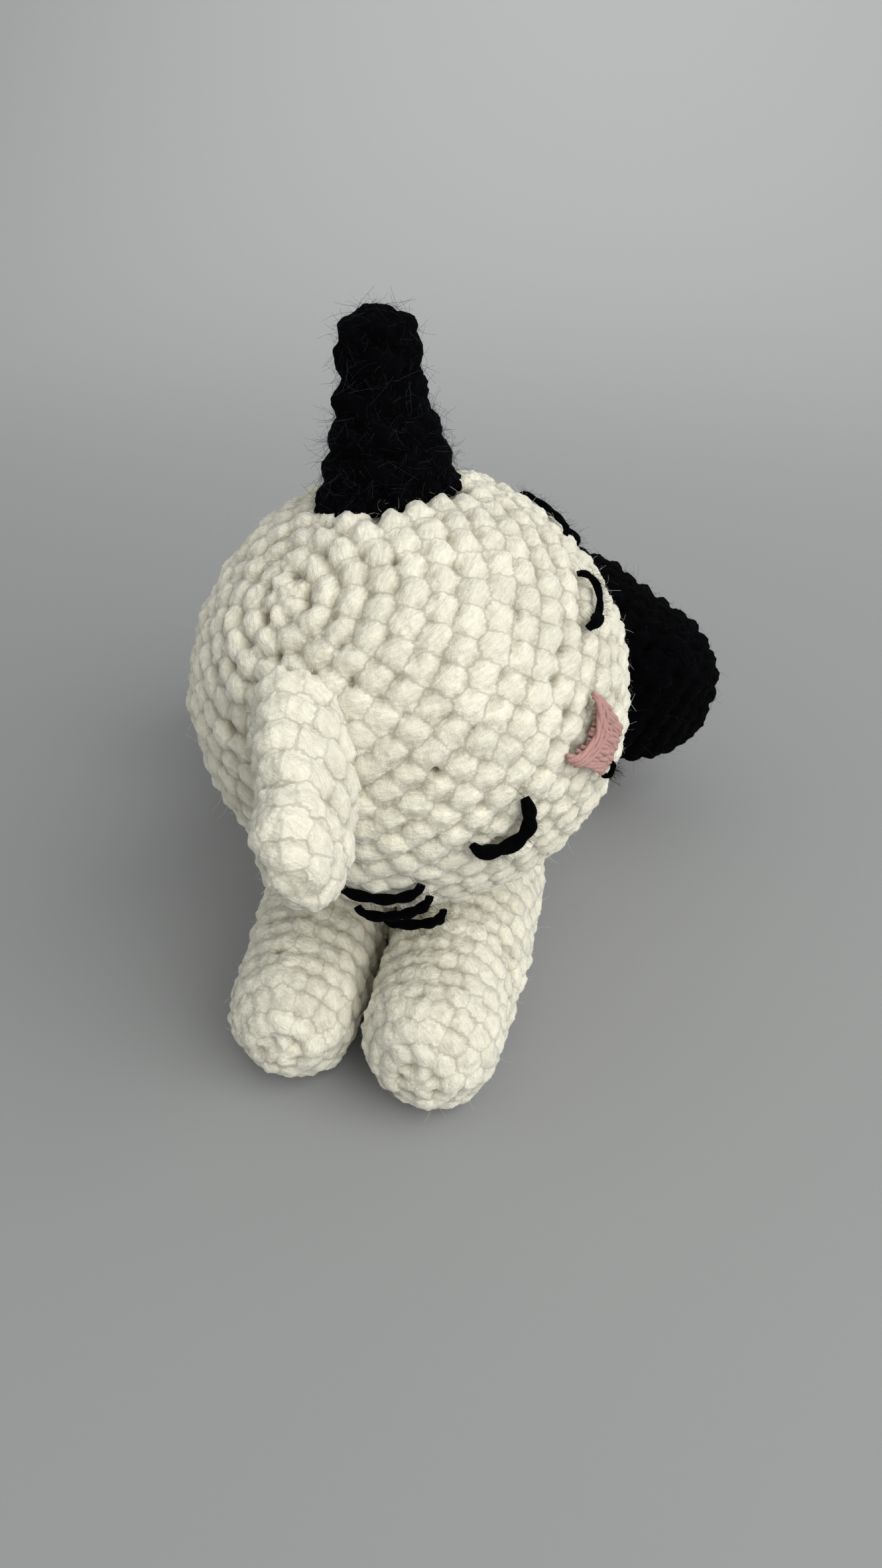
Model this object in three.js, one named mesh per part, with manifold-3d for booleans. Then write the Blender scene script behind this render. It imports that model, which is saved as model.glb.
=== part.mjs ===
// A crocheted cat that sleeps on its belly with its head on its front paws.
// Millimetres, +Z up. The cat's body faces -Y, and its left side is +X.
// The origin is the middle of the flat that its belly settles on.
import * as THREE from 'three';
import { mergeVertices } from 'three/addons/utils/BufferGeometryUtils.js';
import Module from 'manifold-3d';

const wasm = await Module();
wasm.setup();

// Crochet, stuffing and sewing
const WALL = 2.6;
const FILL_GAP = 0.3;
const SEWN_GAP = 0.4;
const REST_GAP = 0.4;
const FLAT_DEPTH = 0.5;
const SEAM_YARN = 1.7;
const SEAM_GAP = 0.3;
const SEAM_WAVE = 0.12;

// Head: a ball, turned to the cat's left and rolled onto its right cheek
const HEAD_RADIUS = 32;
const HEAD_SIDEWAYS = 3;
const HEAD_AHEAD = 48;
const HEAD_TURN = 61;
const HEAD_ROLL = 47;
const HEAD_RISE = 4.8;
const CLOSING_HOLE = 3;

// Body: an egg on its side, shorter in front than behind
const BODY_RADIUS = 30;
const BODY_FRONT = 31;
const BODY_REAR = 50;

// Front legs: side by side on the table, under the head
const FRONT_PAW_RADIUS = 10.7;
const FRONT_ROOT_RADIUS = 9;
const FRONT_SWELL = 1.4;
const FRONT_REACH = { left: 84, right: 80.5 };
const FRONT_ROOT_AHEAD = 6;
const FRONT_ROOT_HEIGHT = 14.5;
const FRONT_BOW = 1.6;
const PAW_SPACING_GAP = 0.3;
const ROOT_SPACING_GAP = 3;

// Hind legs: thick, sewn high on the flanks, pointing outwards and forwards
const HIND_PAW_RADIUS = 17;
const HIND_ROOT_RADIUS = 11;
const HIND_SWELL = 2.5;
const HIND_ROOT = { side: 2, back: 24, height: 42 };
const HIND_TIP = { side: 52, back: 12, height: 20 };

// Tail: thin, curling to the cat's right behind the body
const TAIL_TIP_RADIUS = 5;
const TAIL_ROOT_RADIUS = 6;
const TAIL_PATH = [
  new THREE.Vector3(0, 34, 16),
  new THREE.Vector3(0, 68, 3),
  new THREE.Vector3(-34, 68, 8),
];

// Ears: flat blunt cones, placed by angles on the head, left of the face and up from it
const EAR_SINK = 6;
const EAR_ROOT_RADIUS = 11.2;
const EAR_BROADNESS = 0.62;
const EAR_WALL = 2.4;
const LEFT_EAR_LENGTH = 21.3;
const LEFT_EAR_TIP_RADIUS = 6.8;
const LEFT_EAR_ANGLES = { foot: [82, 50], aim: [86, 47], twist: 0 };
const RIGHT_EAR_LENGTH = 21;
const RIGHT_EAR_TIP_RADIUS = 8.2;
const RIGHT_EAR_ANGLES = { foot: [-64, 51.5], aim: [-56, 20], twist: 90 };

// Embroidery. Its angles are degrees left of the face and up from the middle of the head
const FACE_YARN = 1.7;
const FACE_GAP = 0.3;
const EYE_ANGLES = { inner: 22, outer: 39, top: 13.5, leftDip: 4, rightDip: 7 };
const NOSE_WIDTH = 10.4;
const NOSE_TOP = 4.8;
const NOSE_BOTTOM = 5.6;
const NOSE_THICK = 1.5;
const NOSE_TOP_DIP = 0.7;
const NOSE_CHEEK = { across: 0.85, down: 0.75 };
const MOUTH_ANGLES = [[-0.5, -13.4], [-6.5, -12.6]];
const WHISKER_ANGLES = { inner: 57, outer: 78, ups: [8, -3, -13], sag: 3 };

// Facets
const HEAD_SIDES = 26;
const HEAD_STEPS = 12;
const BODY_SIDES = 22;
const BODY_STEPS = 12;
const LIMB_SIDES = 14;
const LIMB_SHAFT_STEPS = 4;
const LIMB_CAP_STEPS = 3;
const RING_STEPS = 24;
const RING_SIDES = 5;
const YARN_SIDES = 3;
const YARN_STEPS = 6;
const NOSE_STEPS = 5;

// How finely places are worked out
const MERGE_DISTANCE = 1e-4;
const HALVINGS = 40;
const LEG_SAMPLES = 40;

// Yarn finishes
const CREAM = { color: 0xe9e4d6, roughness: 0.95, metalness: 0 };
const BLACK = { color: 0x14141a, roughness: 0.95, metalness: 0 };
const PINK = { color: 0xc98b8b, roughness: 0.9, metalness: 0 };
const FILLING = { color: 0xf2f0ea, roughness: 1, metalness: 0 };

const UP = new THREE.Vector3(0, 0, 1);
const rad = THREE.MathUtils.degToRad;

// The unit vector at an angle between two that stand square to each other.
function between(first, second, angle) {
  return first.clone().multiplyScalar(Math.cos(angle)).addScaledVector(second, Math.sin(angle));
}

// Solids and meshes

function signedVolume(positions, index) {
  const corner = (i) => new THREE.Vector3().fromArray(positions, 3 * index[i]);
  let volume = 0;
  for (let i = 0; i < index.length; i += 3) {
    volume += corner(i).dot(corner(i + 1).cross(corner(i + 2))) / 6;
  }
  return volume;
}

// A closed geometry as a solid, with its doubled points merged and its faces pointing out.
function solid(geometry) {
  const bare = geometry.clone();
  bare.deleteAttribute('normal');
  bare.deleteAttribute('uv');
  const merged = mergeVertices(bare, MERGE_DISTANCE);
  const positions = merged.attributes.position.array;
  const corners = merged.index.array;
  const index = [];
  for (let i = 0; i < corners.length; i += 3) {
    const [a, b, c] = corners.slice(i, i + 3);
    if (a !== b && b !== c && c !== a) index.push(a, b, c);
  }
  if (signedVolume(positions, index) < 0) index.reverse();
  return new wasm.Manifold(new wasm.Mesh({
    numProp: 3,
    vertProperties: new Float32Array(positions),
    triVerts: new Uint32Array(index),
  }));
}

function named(name, shape, finish) {
  const { vertProperties, triVerts } = shape.getMesh();
  const geometry = new THREE.BufferGeometry();
  geometry.setAttribute('position', new THREE.BufferAttribute(vertProperties, 3));
  geometry.setIndex(new THREE.BufferAttribute(triVerts, 1));
  geometry.computeVertexNormals();
  const mesh = new THREE.Mesh(geometry, new THREE.MeshStandardMaterial(finish));
  mesh.name = name;
  return mesh;
}

// The table, as a block to cut the flats with.
const TABLE_SIZE = 400;
const tableBlock = new THREE.BoxGeometry(TABLE_SIZE, TABLE_SIZE, TABLE_SIZE);
const table = solid(tableBlock.translate(0, 0, -TABLE_SIZE / 2));

// Balls and eggs: half outlines from one pole to the other, drawn in by an inset

function arcOutline(radius, ahead, behind, steps, hole) {
  const last = Math.PI - Math.asin(hole / radius);
  const points = [];
  for (let i = 0; i <= steps; i += 1) {
    const turn = (i / steps) * last;
    const reach = turn < Math.PI / 2 ? ahead : behind;
    points.push(new THREE.Vector2(radius * Math.sin(turn), reach * Math.cos(turn)));
  }
  if (hole === 0) points[steps].x = 0;
  return points;
}

function headOutline(inset, hole) {
  const radius = HEAD_RADIUS - inset;
  return arcOutline(radius, radius, radius, HEAD_STEPS, hole);
}

function bodyOutline(inset) {
  return arcOutline(BODY_RADIUS - inset, BODY_REAR - inset, BODY_FRONT - inset, BODY_STEPS, 0);
}

function headTurned(points) {
  return new THREE.LatheGeometry(points, HEAD_SIDES).rotateX(Math.PI / 2);
}

const BODY_MIDDLE = new THREE.Vector3(0, 0, BODY_RADIUS - FLAT_DEPTH);

function bodyTurned(points) {
  return new THREE.LatheGeometry(points, BODY_SIDES).translate(...BODY_MIDDLE);
}

// Distance from the body's outer surface, close to it: positive outside.
function outsideBody(point) {
  const across = Math.hypot(point.x, point.z - BODY_MIDDLE.z);
  const reach = point.y < 0 ? BODY_FRONT : BODY_REAR;
  const level = (across / BODY_RADIUS) ** 2 + (point.y / reach) ** 2 - 1;
  return level / (2 * Math.hypot(across / BODY_RADIUS ** 2, point.y / reach ** 2));
}

// Limbs: a round section that swells along a path and ends in a round paw

class Limb {
  constructor(path, rootRadius, tipRadius, options = {}) {
    const { swell = 0, broadness = 1, wide = UP, wall = WALL } = options;
    Object.assign(this, { path, rootRadius, tipRadius, swell, broadness, wide, wall });
    this.length = path.getLength();
    this.shaft = this.length - tipRadius;
  }

  radius(along) {
    const part = THREE.MathUtils.smoothstep(along, 0, this.shaft);
    const straight = THREE.MathUtils.lerp(this.rootRadius, this.tipRadius, part);
    return straight + this.swell * Math.sin(Math.PI * part);
  }

  // Half outline from the tip's pole to the open root.
  outline(inset) {
    const points = [];
    for (let i = 0; i < LIMB_CAP_STEPS; i += 1) {
      const turn = (i / LIMB_CAP_STEPS) * (Math.PI / 2);
      const radius = this.tipRadius - inset;
      points.push(new THREE.Vector2(radius * Math.sin(turn), this.shaft + radius * Math.cos(turn)));
    }
    for (let i = 0; i <= LIMB_SHAFT_STEPS; i += 1) {
      const along = this.shaft * (1 - i / LIMB_SHAFT_STEPS);
      points.push(new THREE.Vector2(this.radius(along) - inset, along));
    }
    return points;
  }

  // Place on the path and the two directions across it.
  station(along) {
    const part = THREE.MathUtils.clamp(along / this.length, 0, 1);
    const forward = this.path.getTangentAt(part);
    const thin = new THREE.Vector3().crossVectors(forward, this.wide).normalize();
    const wide = new THREE.Vector3().crossVectors(thin, forward);
    return { place: this.path.getPointAt(part), forward, thin, wide };
  }

  // Point at an angle round the path, so far outside the surface.
  surface(along, turn, outside) {
    const { place, thin, wide } = this.station(along);
    const radius = this.radius(along);
    return place
      .addScaledVector(thin, (radius * this.broadness + outside) * Math.cos(turn))
      .addScaledVector(wide, (radius + outside) * Math.sin(turn));
  }

  bent(points) {
    const geometry = new THREE.LatheGeometry(points, LIMB_SIDES);
    const position = geometry.attributes.position;
    for (let i = 0; i < position.count; i += 1) {
      const { place, thin, wide } = this.station(position.getY(i));
      place.addScaledVector(thin, position.getX(i) * this.broadness);
      place.addScaledVector(wide, position.getZ(i));
      position.setXYZ(i, place.x, place.y, place.z);
    }
    return solid(geometry);
  }

  cover() {
    return this.bent([...this.outline(0), ...this.outline(this.wall).reverse()]);
  }

  stuffing() {
    return this.bent([...this.outline(this.wall + FILL_GAP), new THREE.Vector2(0, 0)]);
  }
}

// Seams: a ring of sewing yarn in the crease where two pieces meet

const SEAM_RADIUS = SEAM_YARN / 2;
const SEAM_OUTSIDE = SEAM_RADIUS * (1 + SEAM_WAVE) + SEAM_GAP;

// First place between two values where a rising function passes zero.
function crossing(low, high, rising) {
  for (let i = 0; i < HALVINGS; i += 1) {
    const middle = (low + high) / 2;
    if (rising(middle) < 0) low = middle;
    else high = middle;
  }
  return low;
}

// A plain ring of section radius 1, whose points are carried to the crease.
const RING_RADIUS = 2;

function seamRing(creaseAt) {
  const ring = new THREE.TorusGeometry(RING_RADIUS, 1, RING_SIDES, RING_STEPS);
  const position = ring.attributes.position;
  for (let i = 0; i < position.count; i += 1) {
    const turn = Math.atan2(position.getY(i), position.getX(i));
    const out = Math.hypot(position.getX(i), position.getY(i)) - RING_RADIUS;
    const { middle, outward, onward } = creaseAt(turn);
    const radius = SEAM_RADIUS * (1 + SEAM_WAVE * Math.cos((turn * RING_STEPS) / 2));
    middle.addScaledVector(outward, radius * out).addScaledVector(onward, radius * position.getZ(i));
    position.setXYZ(i, middle.x, middle.y, middle.z);
  }
  return solid(ring);
}

// Where a limb's flank meets what it is sewn to.
function limbCrease(limb, outsideOther) {
  return (turn) => {
    const gapAt = (along) => outsideOther(limb.surface(along, turn, SEAM_OUTSIDE)) - SEAM_OUTSIDE;
    const along = crossing(0, limb.shaft, gapAt);
    const { thin, wide, forward } = limb.station(along);
    const outward = between(thin, wide, turn);
    return { middle: limb.surface(along, turn, SEAM_OUTSIDE), outward, onward: forward };
  };
}

// Front legs

// The paws lie side by side, and the roots leave room for a seam round each.
const pawSpread = FRONT_PAW_RADIUS + PAW_SPACING_GAP / 2;
const rootSpread = FRONT_ROOT_RADIUS + 2 * SEAM_OUTSIDE + ROOT_SPACING_GAP / 2;
const pawHeight = FRONT_PAW_RADIUS - FLAT_DEPTH;

function frontLeg(side, reach) {
  const root = new THREE.Vector3(side * rootSpread, -FRONT_ROOT_AHEAD, FRONT_ROOT_HEIGHT);
  const bend = new THREE.Vector3(side * (pawSpread + FRONT_BOW), -reach / 2, pawHeight);
  const tip = new THREE.Vector3(side * pawSpread, -reach, pawHeight);
  const path = new THREE.QuadraticBezierCurve3(root, bend, tip);
  return new Limb(path, FRONT_ROOT_RADIUS, FRONT_PAW_RADIUS, { swell: FRONT_SWELL });
}

// Hind legs and tail

function hindLeg(side) {
  const point = ({ side: across, back, height }) => new THREE.Vector3(side * across, back, height);
  const path = new THREE.LineCurve3(point(HIND_ROOT), point(HIND_TIP));
  return new Limb(path, HIND_ROOT_RADIUS, HIND_PAW_RADIUS, { swell: HIND_SWELL });
}

const tail = new Limb(new THREE.QuadraticBezierCurve3(...TAIL_PATH), TAIL_ROOT_RADIUS, TAIL_TIP_RADIUS);

const limbs = [
  { name: 'front_leg_left', limb: frontLeg(1, FRONT_REACH.left), finish: CREAM },
  { name: 'front_leg_right', limb: frontLeg(-1, FRONT_REACH.right), finish: CREAM },
  { name: 'hind_leg_left', limb: hindLeg(1), finish: BLACK },
  { name: 'hind_leg_right', limb: hindLeg(-1), finish: CREAM },
  { name: 'tail', limb: tail, finish: BLACK },
];

// Head place: it lies on the front legs, as low as they let it

function headHeight() {
  let height = 0;
  for (const { limb } of limbs.slice(0, 2)) {
    for (let i = 0; i <= LEG_SAMPLES; i += 1) {
      const along = (limb.shaft * i) / LEG_SAMPLES;
      const { place } = limb.station(along);
      const reach = HEAD_RADIUS + limb.radius(along) + REST_GAP;
      const level = Math.hypot(place.x - HEAD_SIDEWAYS, place.y + HEAD_AHEAD);
      if (level < reach) height = Math.max(height, place.z + Math.sqrt(reach ** 2 - level ** 2));
    }
  }
  return height;
}

const head = new THREE.Group();
head.position.set(HEAD_SIDEWAYS, -HEAD_AHEAD, headHeight());
head.rotation.set(-rad(HEAD_RISE), -rad(HEAD_ROLL), rad(HEAD_TURN), 'ZXY');
head.updateMatrixWorld(true);

const Y_UP_TO_Z_UP = new THREE.Matrix4().makeRotationX(Math.PI / 2);

// Unit direction on the head: degrees to the cat's left of the face, and up from the middle.
function headDirection(left, up) {
  return new THREE.Vector3().setFromSphericalCoords(1, rad(90 - up), rad(left)).applyMatrix4(Y_UP_TO_Z_UP);
}

function onHead(left, up, outside) {
  return headDirection(left, up).multiplyScalar(HEAD_RADIUS + outside);
}

// Head cover, worked from the crown and drawn shut round a small hole

const headCover = solid(headTurned([
  ...headOutline(0, CLOSING_HOLE),
  ...headOutline(WALL, CLOSING_HOLE).reverse(),
]));
head.add(named('head_cover', headCover, CREAM));
head.add(named('head_stuffing', solid(headTurned(headOutline(WALL + FILL_GAP, 0))), FILLING));

// Ears, cut to the head they are sewn on

const headRoom = solid(headTurned(headOutline(-SEWN_GAP, 0)));
const outsideHead = (point) => point.length() - HEAD_RADIUS;

function earLimb({ foot, aim, twist }, length, tipRadius) {
  const axis = headDirection(...aim);
  const root = onHead(...foot, 0).addScaledVector(axis, -EAR_SINK);
  const tip = root.clone().addScaledVector(axis, EAR_SINK + length);
  const wide = headDirection(0, 0).projectOnPlane(axis).normalize().applyAxisAngle(axis, rad(twist));
  const shape = { broadness: EAR_BROADNESS, wide, wall: EAR_WALL };
  return new Limb(new THREE.LineCurve3(root, tip), EAR_ROOT_RADIUS, tipRadius, shape);
}

const blackEar = earLimb(LEFT_EAR_ANGLES, LEFT_EAR_LENGTH, LEFT_EAR_TIP_RADIUS);
const creamEar = earLimb(RIGHT_EAR_ANGLES, RIGHT_EAR_LENGTH, RIGHT_EAR_TIP_RADIUS);
const ears = [
  { name: 'ear_left', limb: blackEar, finish: BLACK },
  { name: 'ear_right', limb: creamEar, finish: CREAM },
];

for (const { name, limb, finish } of ears) {
  head.add(named(name, limb.cover().subtract(headRoom), finish));
  head.add(named(`${name}_seam`, seamRing(limbCrease(limb, outsideHead)), finish));
}

// Embroidery: strands of yarn that lie on the head

function strand(places) {
  const outside = FACE_YARN / 2 + FACE_GAP;
  const path = new THREE.CatmullRomCurve3(places.map(([left, up]) => onHead(left, up, outside)));
  const section = new THREE.Shape().absarc(0, 0, FACE_YARN / 2, 0, 2 * Math.PI);
  const options = { steps: YARN_STEPS, curveSegments: YARN_SIDES, bevelEnabled: false, extrudePath: path };
  return solid(new THREE.ExtrudeGeometry(section, options));
}

function eyePlaces(side, dip) {
  const { inner, outer, top } = EYE_ANGLES;
  const places = [];
  for (let i = 0; i <= YARN_STEPS; i += 1) {
    const part = i / YARN_STEPS;
    const left = THREE.MathUtils.lerp(inner, outer, part);
    places.push([side * left, top - dip * Math.sin(Math.PI * part)]);
  }
  return places;
}

function whiskerPlaces(side, up) {
  const { inner, outer, sag } = WHISKER_ANGLES;
  const middle = (inner + outer) / 2;
  return [[side * inner, up], [side * middle, up - sag], [side * outer, up + sag]];
}

const sides = [
  { word: 'left', side: 1, dip: EYE_ANGLES.leftDip },
  { word: 'right', side: -1, dip: EYE_ANGLES.rightDip },
];
for (const { word, side, dip } of sides) {
  head.add(named(`eye_${word}`, strand(eyePlaces(side, dip)), BLACK));
  WHISKER_ANGLES.ups.forEach((up, i) => {
    head.add(named(`whisker_${word}_${i + 1}`, strand(whiskerPlaces(side, up)), BLACK));
  });
}
head.add(named('mouth', strand(MOUTH_ANGLES), BLACK));

// Nose: a three-cornered patch of satin stitch, as thick as its yarn, that follows the ball

function nosePatch() {
  const half = NOSE_WIDTH / 2;
  const outline = new THREE.Shape();
  outline.moveTo(-half, NOSE_TOP);
  const cheek = half * NOSE_CHEEK.across;
  const cheekHeight = -NOSE_BOTTOM * NOSE_CHEEK.down;
  outline.quadraticCurveTo(0, NOSE_TOP * NOSE_TOP_DIP, half, NOSE_TOP);
  outline.quadraticCurveTo(cheek, cheekHeight, 0, -NOSE_BOTTOM);
  outline.quadraticCurveTo(-cheek, cheekHeight, -half, NOSE_TOP);
  const options = { depth: 2 * HEAD_RADIUS, curveSegments: NOSE_STEPS, bevelEnabled: false };
  const column = new THREE.ExtrudeGeometry(outline, options).rotateX(Math.PI / 2);
  const ball = (outside) => solid(headTurned(headOutline(-outside, 0)));
  return solid(column).intersect(ball(FACE_GAP + NOSE_THICK)).subtract(ball(FACE_GAP));
}

head.add(named('nose', nosePatch(), PINK));

// Body: open where the head is sewn into it

const headHollow = solid(headTurned(headOutline(-SEWN_GAP, 0)).applyMatrix4(head.matrixWorld));
const bodyWhole = solid(bodyTurned(bodyOutline(0)));
const bodyInside = solid(bodyTurned(bodyOutline(WALL)));
const bodyRoom = solid(bodyTurned(bodyOutline(-SEWN_GAP)));
const bodyCover = bodyWhole.subtract(bodyInside).subtract(headHollow).subtract(table);
const bodyStuffing = solid(bodyTurned(bodyOutline(WALL + FILL_GAP))).subtract(headHollow);

const cat = new THREE.Group();
cat.add(head);
cat.add(named('body_cover', bodyCover, CREAM));
cat.add(named('body_stuffing', bodyStuffing, FILLING));

// Neck seam, round the hollow that holds the head

const neckAxis = BODY_MIDDLE.clone().sub(head.position).normalize();
const neckSide = new THREE.Vector3().crossVectors(neckAxis, UP).normalize();
const neckUp = new THREE.Vector3().crossVectors(neckSide, neckAxis);

function neckCrease(turn) {
  const across = between(neckSide, neckUp, turn);
  const direction = (lean) => between(neckAxis, across, lean);
  const point = (lean) => direction(lean).setLength(HEAD_RADIUS + SEAM_OUTSIDE).add(head.position);
  const lean = crossing(0, Math.PI / 2, (value) => outsideBody(point(value)) - SEAM_OUTSIDE);
  return { middle: point(lean), outward: direction(lean), onward: direction(lean + Math.PI / 2) };
}

cat.add(named('neck_seam', seamRing(neckCrease), CREAM));

// Legs and tail, cut to the body they are sewn on and flat where they touch the table

for (const { name, limb, finish } of limbs) {
  const cover = limb.cover().subtract(bodyRoom).subtract(table);
  cat.add(named(`${name}_cover`, cover, finish));
  cat.add(named(`${name}_stuffing`, limb.stuffing().subtract(bodyRoom), FILLING));
  const seam = seamRing(limbCrease(limb, outsideBody)).subtract(headHollow).subtract(bodyWhole);
  cat.add(named(`${name}_seam`, seam, finish));
}

// Hinges: a sewn-on piece turns about one side of its seam, so that the seam opens on the far side

const THIN_SIDE = 0;
const WIDE_SIDE = Math.PI / 2;
const OTHER_THIN_SIDE = Math.PI;

const DOWN = UP.clone().negate();
const LEFT = new THREE.Vector3(1, 0, 0);
const RIGHT = LEFT.clone().negate();
const [leftFront, rightFront, leftHind, rightHind] = limbs.map(({ limb }) => limb);

function bodyHinge(limb, side, axis) {
  return { at: limbCrease(limb, outsideBody)(side).middle, axis };
}

function headHinge(limb, side, axis) {
  const at = limbCrease(limb, outsideHead)(side).middle.applyMatrix4(head.matrixWorld);
  return { at, axis: axis.clone().transformDirection(head.matrixWorld) };
}

cat.userData.hinges = {
  head_nod: { at: neckCrease(WIDE_SIDE).middle, axis: RIGHT },
  front_leg_left_splay: bodyHinge(leftFront, OTHER_THIN_SIDE, UP),
  front_leg_right_splay: bodyHinge(rightFront, THIN_SIDE, DOWN),
  hind_leg_left_swing: bodyHinge(leftHind, OTHER_THIN_SIDE, UP),
  hind_leg_right_swing: bodyHinge(rightHind, THIN_SIDE, DOWN),
  tail_lift: bodyHinge(tail, WIDE_SIDE, LEFT),
  ear_left_fold: headHinge(blackEar, THIN_SIDE, blackEar.station(0).wide.negate()),
  ear_right_lift: headHinge(creamEar, WIDE_SIDE, creamEar.station(0).thin),
};

export default cat;
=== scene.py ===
# %% [markdown]
# # A sleeping crocheted cat
#
# The toy is a handful of stuffed shapes, each crocheted in rounds and sewn to the next. The CAD solids
# give every shape its size and place. Here they get what makes them crochet: thousands of small yarn
# stitches, sewn seams, embroidered features and stray fibres. We start with the solids as a fixed frame.

import math
import random

import bmesh
import bpy
from mathutils import Matrix, Vector, noise
from mathutils.kdtree import KDTree
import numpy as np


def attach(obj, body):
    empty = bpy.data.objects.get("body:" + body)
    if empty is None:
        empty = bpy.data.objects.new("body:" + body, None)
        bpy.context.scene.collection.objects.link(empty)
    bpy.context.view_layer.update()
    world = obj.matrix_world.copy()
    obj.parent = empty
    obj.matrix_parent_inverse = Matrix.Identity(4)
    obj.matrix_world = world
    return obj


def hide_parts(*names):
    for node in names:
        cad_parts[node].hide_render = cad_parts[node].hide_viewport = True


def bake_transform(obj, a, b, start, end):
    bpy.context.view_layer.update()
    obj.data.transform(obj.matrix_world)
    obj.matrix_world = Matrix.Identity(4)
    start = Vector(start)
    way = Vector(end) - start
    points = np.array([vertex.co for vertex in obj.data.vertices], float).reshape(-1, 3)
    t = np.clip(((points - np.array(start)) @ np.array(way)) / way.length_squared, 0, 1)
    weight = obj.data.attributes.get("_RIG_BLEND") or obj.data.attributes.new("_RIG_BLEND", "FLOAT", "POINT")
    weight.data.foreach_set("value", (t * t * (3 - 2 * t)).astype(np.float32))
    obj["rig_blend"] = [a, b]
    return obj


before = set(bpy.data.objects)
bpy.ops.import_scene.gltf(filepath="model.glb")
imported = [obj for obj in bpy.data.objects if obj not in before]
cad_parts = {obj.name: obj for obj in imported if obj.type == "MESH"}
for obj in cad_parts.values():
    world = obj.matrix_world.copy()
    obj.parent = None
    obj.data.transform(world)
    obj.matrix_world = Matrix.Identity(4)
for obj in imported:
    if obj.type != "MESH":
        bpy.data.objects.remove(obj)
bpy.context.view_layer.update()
MM = 0.001

# %% [markdown]
# ## The camera
#
# The toy was seen from close by, from above and a little to its left. A close camera matters here:
# the paws and the head swell towards the viewer, and a far one would flatten them. The place and the
# lens come from measuring the round head and the paws; the long side of the frame is the sensor's 36 mm.

# %% Camera
CAMERA_PLACE = Vector((29.1, -195.9, 130.2)) * MM
DEGREES_DOWN, DEGREES_LEFT = 31.66, 8.36
eye = bpy.data.cameras.new("camera")
eye.sensor_width = 36
eye.lens = 26.54
eye.clip_start = 10 * MM
camera = bpy.data.objects.new("camera", eye)
camera.location = CAMERA_PLACE
camera.rotation_euler = (math.radians(90 - DEGREES_DOWN), 0, math.radians(DEGREES_LEFT))
scene = bpy.context.scene
scene.collection.objects.link(camera)
scene.camera = camera
print("camera", [round(x / MM) for x in camera.location], "lens", round(eye.lens, 2))

# %% [markdown]
# ## Floor and backdrop
#
# A pale sheet runs along the floor and up behind the toy, so that no horizon shows in the camera's view.
# It is one face whose back edge is extruded upwards, and the corner between the two is bevelled to a wide
# curve. The sheet is then widened and its front drawn out, so that its edges lie far off in other views.

# %% Floor and backdrop, in metres
FLOOR_HALF, WALL_HEIGHT, WALL_CURVE = 1.6, 1.8, 0.7
NEARER, WIDER, DRAWN_OUT = 0.4, 3, 4
scene.view_settings.view_transform = "Standard"


def only(kind, geometry):
    """The vertices, edges or faces among what an operator gives back."""
    return [g for g in geometry if isinstance(g, kind)]


def shade_smooth(faces):
    for face in faces:
        face.smooth = True


def link(name, bm, *finishes):
    """Turns a bmesh into an object at the origin, with its finishes in order."""
    mesh = bpy.data.meshes.new(name)
    bm.to_mesh(mesh)
    bm.free()
    for finish in finishes:
        mesh.materials.append(finish)
    piece = bpy.data.objects.new(name, mesh)
    scene.collection.objects.link(piece)
    return piece


floor_finish = bpy.data.materials.new("floor_paper")
floor_finish.use_nodes = True
paper = floor_finish.node_tree.nodes["Principled BSDF"]
paper.inputs["Base Color"].default_value = (0.29, 0.295, 0.29, 1)
paper.inputs["Roughness"].default_value = 0.9
sweep = bmesh.new()
bmesh.ops.create_grid(sweep, x_segments=1, y_segments=1, size=FLOOR_HALF)
back = [e for e in sweep.edges if all(v.co.y > 0 for v in e.verts)]
top = only(bmesh.types.BMVert, bmesh.ops.extrude_edge_only(sweep, edges=back)["geom"])
bmesh.ops.translate(sweep, vec=(0, 0, WALL_HEIGHT), verts=top)
corner = [e for e in sweep.edges if all(v.co.y > 0 and v.co.z == 0 for v in e.verts)]
bmesh.ops.bevel(
    sweep, geom=corner, offset=WALL_CURVE, segments=16, profile=0.5, affect="EDGES", material=-1
)
bmesh.ops.translate(sweep, vec=(0, -NEARER, 0), verts=sweep.verts)
bmesh.ops.scale(sweep, vec=(WIDER, 1, 1), verts=sweep.verts)
front = [v for v in sweep.verts if v.co.y < -FLOOR_HALF]
bmesh.ops.translate(sweep, vec=(0, -DRAWN_OUT, 0), verts=front)
shade_smooth(sweep.faces)
backdrop = link("floor", sweep, floor_finish)
print("floor", len(backdrop.data.polygons), "faces")

# %% [markdown]
# ## Light
#
# A large soft lamp at the upper right does what a window does, and a weak one fills in from the front
# right. A third lamp, above and behind the toy, is turned to the backdrop and hardly reaches the toy.
# The grey world lights what they leave dark. Large lamps are chosen for their soft shadows.

# %% Lamps and world, in metres and watts
TARGET = Vector((0, -40, 35)) * MM
BACKDROP_TARGET = Vector((0, 1.20, 0.10))


def soft_lamp(name, place, size, power, target=TARGET):
    """A square lamp that faces the toy, or another target."""
    light = bpy.data.lights.new(name, "AREA")
    light.size = size
    light.energy = power
    lamp = bpy.data.objects.new(name, light)
    lamp.location = Vector(place)
    lamp.rotation_euler = (target - lamp.location).to_track_quat("-Z", "Y").to_euler()
    scene.collection.objects.link(lamp)


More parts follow.
